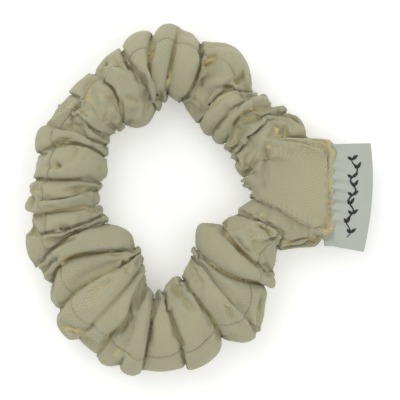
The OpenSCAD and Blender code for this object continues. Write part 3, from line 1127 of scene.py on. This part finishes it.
@dataclass
class BraidedElastic:
    """One flat braided band, standing on edge inside the sleeve, lapped and zigzagged."""

    sleeve: GatheredSleeve
    middle_z: float
    width_mm: float = 6.0
    thick_mm: float = 1.2
    strand_mm: float = 0.9
    # The braid's lengthwise ridges: how high and how many
    ridge_mm: float = 0.12
    ridges: int = 4
    lap_mm: float = 10.0
    lap_gap_mm: float = 0.1
    # Radius of the loop where the ends are lapped
    lap_radius_mm: float = 28.0
    zigzags: int = 8
    thread_mm: float = 0.34

    def path(self, turn: np.ndarray, out_by: float) -> np.ndarray:
        """Follow the elastic's line inside the settled sleeve.

        Args:
            turn: Turns of the path, in degrees.
            out_by: Distance outside the band's own line, in millimetres.

        Returns:
            Points along the path, in millimetres.
        """
        turns, radii = self.sleeve.elastic_line(self.sleeve.settled)
        radius = np.interp(turn, turns, radii, period=360) + out_by
        angle = np.radians(turn)
        return np.stack([self.sleeve.centre[0] + radius * np.cos(angle),
                         self.sleeve.centre[1] + radius * np.sin(angle),
                         np.full(len(turn), self.middle_z)], -1)

    def band(self, name: str, turn: np.ndarray, out_by: float, closed: bool) -> bpy.types.Object:
        """Sweep the band's rounded section along its path.

        Args:
            name: Name of the piece.
            turn: Turns of the path, in degrees.
            out_by: Distance outside the band's own line, in millimetres.
            closed: Whether the path joins up.

        Returns:
            The band.
        """
        line = self.path(turn, out_by)
        way = np.roll(line, -1, 0) - np.roll(line, 1, 0) if closed else np.gradient(line, axis=0)
        way /= np.linalg.norm(way, axis=-1, keepdims=True)
        across = np.stack([way[:, 1], -way[:, 0], np.zeros(len(way))], -1)
        share = np.linspace(-1, 1, 2 * self.ridges + 1)
        rise = share * self.width_mm / 2
        ridge = self.ridge_mm * np.cos(share * math.pi * self.ridges)
        # The two edges are thinner than the face between them
        taper = np.where(np.abs(share) == 1, 0.4, 1.0) * self.thick_mm / 2
        section = [(t + r, z) for t, r, z in zip(taper, ridge, rise)]
        section += [(-t - r, z) for t, r, z in zip(taper[::-1], ridge[::-1], rise[::-1])]
        up = np.array([0, 0, 1.0])
        points = np.stack([line + o * across + z * up for o, z in section], 1)
        faces = list(grid_faces(len(line), len(section), closed, True))
        if not closed:
            last = (len(line) - 1) * len(section)
            faces += [tuple(range(len(section))),
                      tuple(range(last + len(section) - 1, last - 1, -1))]
        piece = make_mesh(name, points.reshape(-1, 3) * MM, faces)
        piece.data.materials.append(TwistedYarn(name, "#efece4", self.strand_mm).material())
        return piece

    def build(self) -> dict[str, bpy.types.Object]:
        """Make the band, its lapped end and the zigzag that joins them.

        Returns:
            The three pieces, by their short names.
        """
        half = math.degrees(self.lap_mm / 2 / self.lap_radius_mm)
        lap = np.linspace(-half, half, 13)
        corners = self.zigzags + 1
        face = 1.55 * self.thick_mm + 0.15
        zigzag = self.path(np.linspace(-0.8 * half, 0.8 * half, corners), face)
        zigzag[:, 2] += np.where(np.arange(corners) % 2, 1.0, -1.0) * 0.3 * self.width_mm
        out = np.array([1.0, 0, 0])
        ends = [(zigzag[k], zigzag[k + 1], out) for k in range(self.zigzags)]
        return {
            "band": self.band("elastic_band", np.arange(0, 360, 2.0), 0.0, True),
            "lap": self.band("elastic_lapped_end", lap, self.thick_mm + self.lap_gap_mm, False),
            "zigzag": SewingThreads.finish("elastic_zigzag_thread", ends, self.thread_mm / 2),
        }


# -------------------------------------------------------------------- the label


@dataclass(frozen=True)
class Sprig:
    """The printed sprig: a waved stem with a pair of leaves at each bend.

    Places across the label are shares of the way from the seam to the fold.
    """

    waves: int = 4
    start: float = 0.44
    drift: float = 0.14
    wave: float = 0.075
    low_margin_mm: float = 3.2
    high_margin_mm: float = 3.4
    stem_steps: int = 90
    stem_mm: float = 0.10
    stem_swell_mm: float = 0.13
    leaf_steps: int = 12
    # Side of the stem and length of the two leaves of a pair
    leaves: tuple[tuple[int, float], ...] = ((1, 2.3), (-1, 1.6))
    leans: tuple[float, float] = (0.95, 0.55)
    leaf_mm: float = 0.03
    leaf_swell_mm: float = 0.42
    film_mm: float = 0.04

    def stem(self, share: float) -> float:
        """Where the stem lies across the label, at a share of its length."""
        bend = math.sin(2 * math.pi * self.waves * share)
        return self.start + self.drift * share + self.wave * bend


@dataclass
class SatinLabel:
    """A satin ribbon folded in two and sewn in at its ends, with a printed sprig."""

    edge_x: float
    tip_x: float
    hinge_z: float
    art: Sprig = Sprig()
    low_y: float = -13.4
    high_y: float = 16.2
    tail_mm: float = 3.0
    cloth_mm: float = 0.14
    # Half the air between the leaves, and the share of it left at the seam
    puff_mm: float = 0.35
    flat_puff: float = 0.35
    # The fold falls short of the tip, bows back at its ends and leans
    short_mm: float = 0.3
    bow_mm: float = 1.5
    lean_mm: float = 1.0
    # Puckers where the stitches grip it, and how fast they fade towards the fold
    pucker_mm: float = 1.0
    ripple_mm: float = 0.25
    grip_share: float = 0.28
    # Where the puckers are deepest, how far they spread, and their pitch in radians a millimetre
    pucker_y: float = 1.5
    pucker_spread_mm: float = 7.5
    pucker_pitch: float = 2.1
    pucker_skew: float = 3.5
    ripple_pitch: float = 1.15
    # Between seam and fold it sweeps up, most near one height, and droops to the fold
    sweep_mm: float = 0.8
    sweep_y: float = 4.0
    sweep_spread_mm: float = 11.0
    droop_mm: float = 1.6
    droop_power: float = 1.6
    # The seam is drawn in at its middle; the fold is longer than it, and slants at its low end
    seam_bow_mm: float = 0.35
    seam_bow_y: float = 1.2
    seam_bow_spread_mm: float = 9.0
    fan_share: float = 0.02
    slant_mm: float = 1.5
    slant_span_mm: float = 14.0
    selvedge_mm: float = 0.05

    def reach(self, y: np.ndarray) -> np.ndarray:
        """Say how far the fold stands out from the seam.

        Args:
            y: Height up the label, in millimetres.

        Returns:
            The fold's distance from the seam, in millimetres.
        """
        middle, half = (self.low_y + self.high_y) / 2, (self.high_y - self.low_y) / 2
        t = (y - middle) / half
        return self.tip_x - self.edge_x - self.short_mm - self.bow_mm * t**2 + self.lean_mm * t

    def gap(self, out: np.ndarray) -> np.ndarray:
        """Half the air between the leaves at a share of the way to the fold, in millimetres."""
        return self.puff_mm * (self.flat_puff + np.sin(math.pi * out) ** 0.7)

    def surface(self, out: np.ndarray, y: np.ndarray) -> np.ndarray:
        """Middle of the folded label.

        Args:
            out: Share of the way from the seam to the fold; less than 0 is inside the seam.
            y: Height up the label, in millimetres.

        Returns:
            Positions in millimetres.
        """
        free = np.clip(out, 0, 1)
        grip = np.exp(-np.maximum(out, 0) / self.grip_share)
        pucker = (self.pucker_mm * grip
                  * np.exp(-((y - self.pucker_y) / self.pucker_spread_mm) ** 2)
                  * np.sin(y * self.pucker_pitch + self.pucker_skew * out))
        pucker = pucker + self.ripple_mm * grip * np.sin(y * self.ripple_pitch + 1.0)
        sweep = (self.sweep_mm * np.sin(math.pi * free)
                 * np.cos((y - self.sweep_y) / self.sweep_spread_mm))
        droop = -self.droop_mm * free ** self.droop_power
        z = self.hinge_z + np.where(out > 0, pucker + sweep + droop, 0)
        seam_bow = (self.seam_bow_mm * np.cos((y - self.seam_bow_y) / self.seam_bow_spread_mm)
                    * (out > -0.02) * (1 - out))
        x = self.edge_x + out * self.reach(y) - seam_bow
        fan = 1 + self.fan_share * free
        slant = -self.slant_mm * free * (y < 0) * (-y / self.slant_span_mm)
        return np.stack([x, y * fan + slant, z], -1)

    def build(self) -> bpy.types.Object:
        """Make the ribbon: up one leaf, round the fold and back down the other.

        Returns:
            The ribbon.
        """
        tail, turned = -self.tail_mm / (self.tip_x - self.edge_x), 0.985
        leaf = np.concatenate([np.linspace(tail, 0, 4)[:-1], np.linspace(0, turned, 22)])
        gap = self.gap(np.clip(leaf, 0, 1))
        turn = np.linspace(0, math.pi, 7)[1:-1]
        fold_out = turned + 0.02 * np.sin(turn)
        share = np.concatenate([leaf, fold_out, leaf[::-1]])
        lift = np.concatenate([gap, gap[-1] * np.cos(turn), -gap[::-1]])
        y = np.linspace(self.low_y, self.high_y, 56)
        grid_out, grid_y = np.meshgrid(share, y, indexing="ij")
        points = self.surface(grid_out, grid_y)
        points[..., 2] += lift[:, None]
        # Selvedges are a little thicker than the ribbon between them
        points[:, (0, -1), 2] += np.sign(lift)[:, None] * self.selvedge_mm
        rows, columns = points.shape[:2]
        faces = grid_faces(rows, columns)
        spans = np.linalg.norm(np.diff(points[:, 0], axis=0), axis=-1)
        run = np.concatenate([[0], np.cumsum(spans)])
        i, j = faces[:, 0] // columns, faces[:, 0] % columns
        uv = np.stack([np.stack([run[i + di], y[j + dj]], -1)
                       for di, dj in ((0, 0), (1, 0), (1, 1), (0, 1))], 1) * MM
        ribbon = make_mesh("satin_label", points.reshape(-1, 3) * MM, faces, uv)
        thick = ribbon.modifiers.new("cloth", "SOLIDIFY")
        thick.thickness, thick.offset = self.cloth_mm * MM, 0
        ribbon.modifiers.new("round", "SUBSURF").levels = 1
        ribbon.modifiers["round"].render_levels = 1
        ribbon.data.materials.append(SatinRibbon().material())
        return ribbon

    def on_face(self, out: float, y: float) -> np.ndarray:
        """Find the place just above the upper leaf, where the print lies.

        Args:
            out: Share of the way from the seam to the fold.
            y: Height up the label, in millimetres.

        Returns:
            The place, in millimetres.
        """
        clear_mm = 0.07
        point = self.surface(np.array([out]), np.array([y]))[0]
        return point + np.array([0, 0, self.gap(out) + self.cloth_mm / 2 + clear_mm])

    def stroke(self, route: list[tuple[float, float]], widths: list[float]) -> np.ndarray:
        """Lay one flat stroke of the print on the label.

        Args:
            route: Its places: share of the way to the fold, and height in millimetres.
            widths: Half its width at each place, in millimetres.

        Returns:
            Its points, left and right in turn, in millimetres.
        """
        length = self.tip_x - self.edge_x
        way = np.gradient(np.array(route) * np.array([length, 1.0]), axis=0)
        way /= np.linalg.norm(way, axis=1, keepdims=True)
        return np.array([self.on_face(out - side * half * wy / length, y + side * half * wx)
                         for (out, y), (wx, wy), half in zip(route, way, widths)
                         for side in (-1, 1)])

    def sprig(self) -> bpy.types.Object:
        """Make the print: the waved stem, then the leaves from its root to its tip.

        Returns:
            The print, as one thin film.
        """
        art = self.art
        low, high = self.low_y + art.low_margin_mm, self.high_y - art.high_margin_mm
        steps = np.linspace(0, 1, art.stem_steps)
        strokes = [self.stroke(
            [(art.stem(s), low + (high - low) * s) for s in steps],
            [art.stem_mm + art.stem_swell_mm * math.sin(math.pi * s) ** 0.5 for s in steps])]
        pairs = 2 * art.waves + 1
        span = np.linspace(0, 1, art.leaf_steps)
        widths = [art.leaf_mm + art.leaf_swell_mm * math.sin(math.pi * t ** 0.8) for t in span]
        for k in range(pairs):
            s = (k + 0.5) / pairs
            out, y = art.stem(s), low + (high - low) * s
            for side, length in art.leaves:
                lean = side * art.leans[k % 2]
                strokes.append(self.stroke([(out + length * t * math.sin(lean) / 12,
                                             y + length * t * math.cos(lean)) for t in span],
                                           widths))
        faces, start = [], 0
        for points in strokes:
            faces.extend((start + k, start + k + 2, start + k + 3, start + k + 1)
                         for k in range(0, len(points) - 2, 2))
            start += len(points)
        print_layer = make_mesh("label_sprig_print", np.concatenate(strokes) * MM, faces)
        film = print_layer.modifiers.new("film", "SOLIDIFY")
        film.thickness, film.offset = art.film_mm * MM, 0
        print_layer.data.materials.append(ScreenInk().material())
        return print_layer


# -------------------------------------------------------------------- the studio


@dataclass
class Studio:
    """Pale table, soft lights and a camera that looks straight down."""

    view_mm: float = 116.0
    camera_height: float = 0.75
    table_m: float = 4.0
    target: tuple[float, float, float] = (0.0, 0.0, 0.008)

    def table(self) -> bpy.types.Object:
        """Make the pale table top.

        Returns:
            The table.
        """
        steps = 13
        line = np.linspace(-self.table_m / 2, self.table_m / 2, steps)
        x, y = np.meshgrid(line, line, indexing="ij")
        points = np.stack([x, y, np.zeros_like(x)], -1).reshape(-1, 3)
        table = make_mesh("pale_table", points, grid_faces(steps, steps)[:, ::-1])
        material, tree = new_material("matt_white_laminate")
        place = add_node(tree, "ShaderNodeTexCoord").outputs["Object"]
        # The laminate's fine grain, about a millimetre across
        grain = add_node(tree, "ShaderNodeTexNoise", {"Scale": 900.0, "Detail": 2.0},
                         {"Vector": place})
        bump = add_node(tree, "ShaderNodeBump", {"Strength": 0.03, "Distance": 0.05 * MM},
                        {"Height": grain.outputs["Fac"]})
        shader = add_node(tree, "ShaderNodeBsdfPrincipled",
                          {"Base Color": linear("#f4f4f3"), "Roughness": 0.7,
                           "Specular IOR Level": 0.2, "Emission Color": (1, 1, 1, 1),
                           "Emission Strength": 0.25}, {"Normal": bump.outputs[0]})
        add_node(tree, "ShaderNodeOutputMaterial", links={"Surface": shader.outputs[0]})
        table.data.materials.append(material)
        return table

    def light(self, name: str, place: tuple[float, float, float], size: float,
              power: float) -> None:
        """Add one square soft light that faces the piece.

        Args:
            name: Name of the light.
            place: Where it stands, in metres.
            size: Length of its side, in metres.
            power: Its power, in watts.
        """
        data = bpy.data.lights.new(name, "AREA")
        data.size, data.energy = size, power
        lamp = bpy.data.objects.new(name, data)
        lamp.location = place
        facing = Vector(self.target) - Vector(place)
        lamp.rotation_euler = facing.to_track_quat("-Z", "Y").to_euler()
        bpy.context.scene.collection.objects.link(lamp)

    def build(self) -> bpy.types.Object:
        """Set up the camera, the lights and the table.

        Returns:
            The table.
        """
        scene = bpy.context.scene
        data = bpy.data.cameras.new("camera")
        data.sensor_width = 36.0
        data.lens = data.sensor_width * self.camera_height / (self.view_mm * MM)
        camera = bpy.data.objects.new("camera", data)
        camera.location = Vector(self.target) + Vector((0, 0, self.camera_height))
        scene.collection.objects.link(camera)
        scene.camera = camera
        self.light("window_light", (-0.45, 0.55, 0.65), 0.9, 3.2)
        self.light("fill_light", (0.6, -0.2, 0.7), 0.8, 1.6)
        world = bpy.data.worlds.new("soft_room")
        scene.world = world
        world.use_nodes = True
        world.node_tree.nodes.clear()
        sky = add_node(world.node_tree, "ShaderNodeBackground",
                       {"Color": (1, 1, 1, 1), "Strength": 0.72})
        add_node(world.node_tree, "ShaderNodeOutputWorld", links={"Surface": sky.outputs[0]})
        scene.view_settings.view_transform = "Standard"
        return self.table()


def ride(piece: bpy.types.Object, body: Body | None = None) -> None:
    """Tie a piece to a body, or fix in place a piece that runs round the loop.

    Args:
        piece: The piece.
        body: The body that carries it, or None for a piece that runs round the loop.
    """
    if body is None:
        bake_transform(piece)
    else:
        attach(piece, body.value)
    log.info("%s: %d points", piece.name, len(piece.data.vertices))


def main() -> None:
    """Build every piece, tie the ones at the label end to its body, and hide the imported parts."""
    logging.basicConfig(level=logging.INFO, format="%(message)s")
    Studio().build()

    ribbon_low, ribbon_high = (np.array(corner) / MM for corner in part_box("label_ribbon"))
    tails_high = np.array(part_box("label_tails")[1]) / MM
    far_low = np.array(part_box("sleeve_far_bend")[0]) / MM
    middle_z = (ribbon_low[2] + ribbon_high[2]) / 2
    edge_x = float(tails_high[0])

    # The opening isn't quite in the middle of the loop
    aside_x, aside_y = -4.0, 1.3
    centre = ((far_low[0] + edge_x) / 2 + aside_x, aside_y)
    sleeve = GatheredSleeve(centre, elastic_z=middle_z)
    jersey = sleeve.build()
    ride(jersey)
    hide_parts("sleeve_label_end", "sleeve_upper_run", "sleeve_lower_run",
                "sleeve_far_bend")

    elastic = BraidedElastic(sleeve, middle_z).build()
    ride(elastic["band"])
    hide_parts("elastic_label_end", "elastic_upper_run", "elastic_lower_run",
                "elastic_far_bend")
    ride(elastic["lap"], Body.LABEL_END)
    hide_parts("elastic_lap")
    ride(elastic["zigzag"], Body.LABEL_END)
    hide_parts("elastic_lap_stitches")

    surface = BVHTree.FromObject(jersey, bpy.context.evaluated_depsgraph_get())
    threads = SewingThreads(sleeve, surface, edge_x)
    lengthwise, cross, closing = threads.lengthwise(), threads.cross(), threads.closing()
    ride(lengthwise)
    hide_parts("seam_thread_label_end", "seam_thread_upper_run",
                "seam_thread_lower_run", "seam_thread_far_bend")
    ride(cross)
    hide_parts("cross_seam_thread")
    ride(closing, Body.LABEL_END)
    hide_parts("closing_stitches")

    label = SatinLabel(edge_x, float(ribbon_high[0]), float(middle_z))
    ribbon, sprig = label.build(), label.sprig()
    for piece, slot in ((ribbon, Slot.SATIN), (sprig, Slot.INK)):
        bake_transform(piece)
    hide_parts("label_ribbon", "label_tails")
    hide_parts("label_print")


if __name__ == "__main__":
    main()
